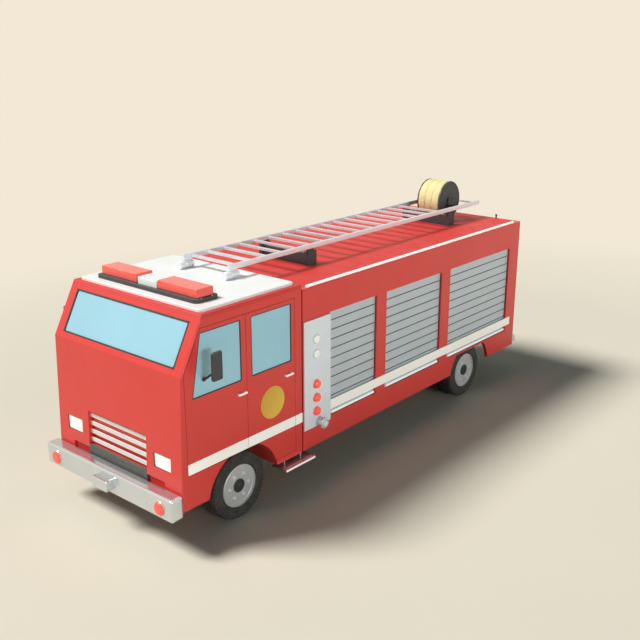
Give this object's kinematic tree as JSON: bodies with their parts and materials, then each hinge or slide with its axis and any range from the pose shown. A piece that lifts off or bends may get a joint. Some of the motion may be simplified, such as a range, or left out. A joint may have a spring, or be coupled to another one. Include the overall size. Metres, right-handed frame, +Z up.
{
  "type": "fire engine",
  "caption": "Full-size crew-cab fire engine with roller-shutter lockers, opening cab doors, steered front wheels, roof ladder and hose reel.",
  "frame": {"origin": "on the ground, under the middle of the vehicle's bounding box", "axes": "+Z up, the cab faces -Y, the vehicle's own left side is +X"},
  "size_m": [2.956, 8.505, 3.582],
  "materials": {
    "red_paint": "satin",
    "white_paint": "satin",
    "black_plastic": "matte",
    "bright_metal": "satin",
    "chrome": "polished",
    "frame_steel": "satin",
    "dark_metal": "cast",
    "blue_glass": "tinted",
    "red_lens": "clear",
    "white_lens": "clear",
    "tyre_rubber": "matte",
    "wheel_paint": "satin",
    "shutter_metal": "satin",
    "seat_fabric": "woven",
    "yellow_hose": "matte"
  },
  "bodies": {
    "vehicle": {"chassis_frame": "frame_steel", "front_axle": "frame_steel", "rear_axle": "frame_steel", "engine_block": "dark_metal", "front_bumper": "chrome", "rear_bumper": "chrome", "cab_shell": "red_paint", "cab_roof": "red_paint", "roof_pad": "white_paint", "windscreen": "blue_glass", "grille": "bright_metal", "front_apron": "black_plastic", "headlamps": "white_lens", "red_lamps": "red_lens", "white_lamps": "white_lens", "light_bar_base": "black_plastic", "light_bar_lenses": "red_lens", "light_bar_middle": "white_paint", "dashboard": "black_plastic", "seats": "seat_fabric", "cab_steps": "chrome", "body_sides": "red_paint", "body_roof": "red_paint", "body_floor": "shutter_metal", "body_rear": "red_paint", "roller_shutters": "shutter_metal", "lift_bars": "chrome", "side_bands": "white_paint", "side_rails": "white_paint", "pump_panels": "bright_metal", "saddles": "black_plastic"},
    "front_door_left": {"front_door_left": "red_paint", "front_door_glass_left": "blue_glass", "mirror_left": "black_plastic"},
    "rear_door_left": {"rear_door_left": "red_paint", "rear_door_glass_left": "blue_glass"},
    "knuckle_left": {"knuckle_left": "frame_steel"},
    "front_wheel_left": {"front_tyre_left": "tyre_rubber", "front_rim_left": "wheel_paint"},
    "rear_wheel_left": {"rear_tyres_left": "tyre_rubber", "rear_rim_left": "wheel_paint"},
    "front_door_right": {"front_door_right": "red_paint", "front_door_glass_right": "blue_glass", "mirror_right": "black_plastic"},
    "rear_door_right": {"rear_door_right": "red_paint", "rear_door_glass_right": "blue_glass"},
    "knuckle_right": {"knuckle_right": "frame_steel"},
    "front_wheel_right": {"front_tyre_right": "tyre_rubber", "front_rim_right": "wheel_paint"},
    "rear_wheel_right": {"rear_tyres_right": "tyre_rubber", "rear_rim_right": "wheel_paint"},
    "tie_rod": {"tie_rod": "frame_steel"},
    "steering_wheel": {"steering_wheel": "black_plastic"},
    "ladder": {"ladder": "bright_metal"},
    "hose_reel": {"hose_reel": "black_plastic", "hose_winding": "yellow_hose"}
  },
  "joints": [
    {"name": "front_door_left_hinge", "type": "hinge", "parent": "vehicle", "child": "front_door_left", "pos_m": [1.25, -3.8385, 1.9], "axis": [0, 0, -1], "range_deg": [0, 68]},
    {"name": "front_door_right_hinge", "type": "hinge", "parent": "vehicle", "child": "front_door_right", "pos_m": [-1.25, -3.8385, 1.9], "axis": [0, 0, 1], "range_deg": [0, 68]},
    {"name": "rear_door_left_hinge", "type": "hinge", "parent": "vehicle", "child": "rear_door_left", "pos_m": [1.25, -2.8135, 1.7], "axis": [0, 0, -1], "range_deg": [0, 68]},
    {"name": "rear_door_right_hinge", "type": "hinge", "parent": "vehicle", "child": "rear_door_right", "pos_m": [-1.25, -2.8135, 1.7], "axis": [0, 0, 1], "range_deg": [0, 68]},
    {"name": "steer_left", "type": "hinge", "parent": "vehicle", "child": "knuckle_left", "pos_m": [0.88, -2.9025, 0.467], "axis": [0, 0, 1], "range_deg": [-32, 32]},
    {"name": "steer_right", "type": "hinge", "parent": "vehicle", "child": "knuckle_right", "pos_m": [-0.88, -2.9025, 0.467], "axis": [0, 0, 1], "range_deg": [-32, 32]},
    {"name": "tie_rod_swing", "type": "hinge", "parent": "knuckle_left", "child": "tie_rod", "pos_m": [0.88, -2.7225, 0.352], "axis": [0, 0, 1], "range_deg": [-32, 32]},
    {"name": "steering_wheel_turn", "type": "hinge", "parent": "vehicle", "child": "steering_wheel", "pos_m": [0.77, -3.4625, 1.9], "axis": [0, 0.5736, 0.8192], "range_deg": [-450, 450]},
    {"name": "front_wheel_left_spin", "type": "hinge", "parent": "knuckle_left", "child": "front_wheel_left", "pos_m": [1.02, -2.9025, 0.467], "axis": [1, 0, 0], "continuous": true},
    {"name": "front_wheel_right_spin", "type": "hinge", "parent": "knuckle_right", "child": "front_wheel_right", "pos_m": [-1.02, -2.9025, 0.467], "axis": [1, 0, 0], "continuous": true},
    {"name": "rear_wheel_left_spin", "type": "hinge", "parent": "vehicle", "child": "rear_wheel_left", "pos_m": [0.86, 2.5975, 0.467], "axis": [1, 0, 0], "continuous": true},
    {"name": "rear_wheel_right_spin", "type": "hinge", "parent": "vehicle", "child": "rear_wheel_right", "pos_m": [-0.86, 2.5975, 0.467], "axis": [1, 0, 0], "continuous": true},
    {"name": "ladder_lift", "type": "hinge", "parent": "vehicle", "child": "ladder", "pos_m": [0, 3.3425, 3.149], "axis": [-1, 0, 0], "range_deg": [0, 18]},
    {"name": "reel_spin", "type": "hinge", "parent": "vehicle", "child": "hose_reel", "pos_m": [0, 3.3425, 3.237], "axis": [1, 0, 0], "continuous": true}
  ],
  "couplings": [
    {"joint": "steer_right", "follows": "steer_left", "ratio": 1},
    {"joint": "tie_rod_swing", "follows": "steer_left", "ratio": -1},
    {"joint": "steering_wheel_turn", "follows": "steer_left", "ratio": 14}
  ]
}
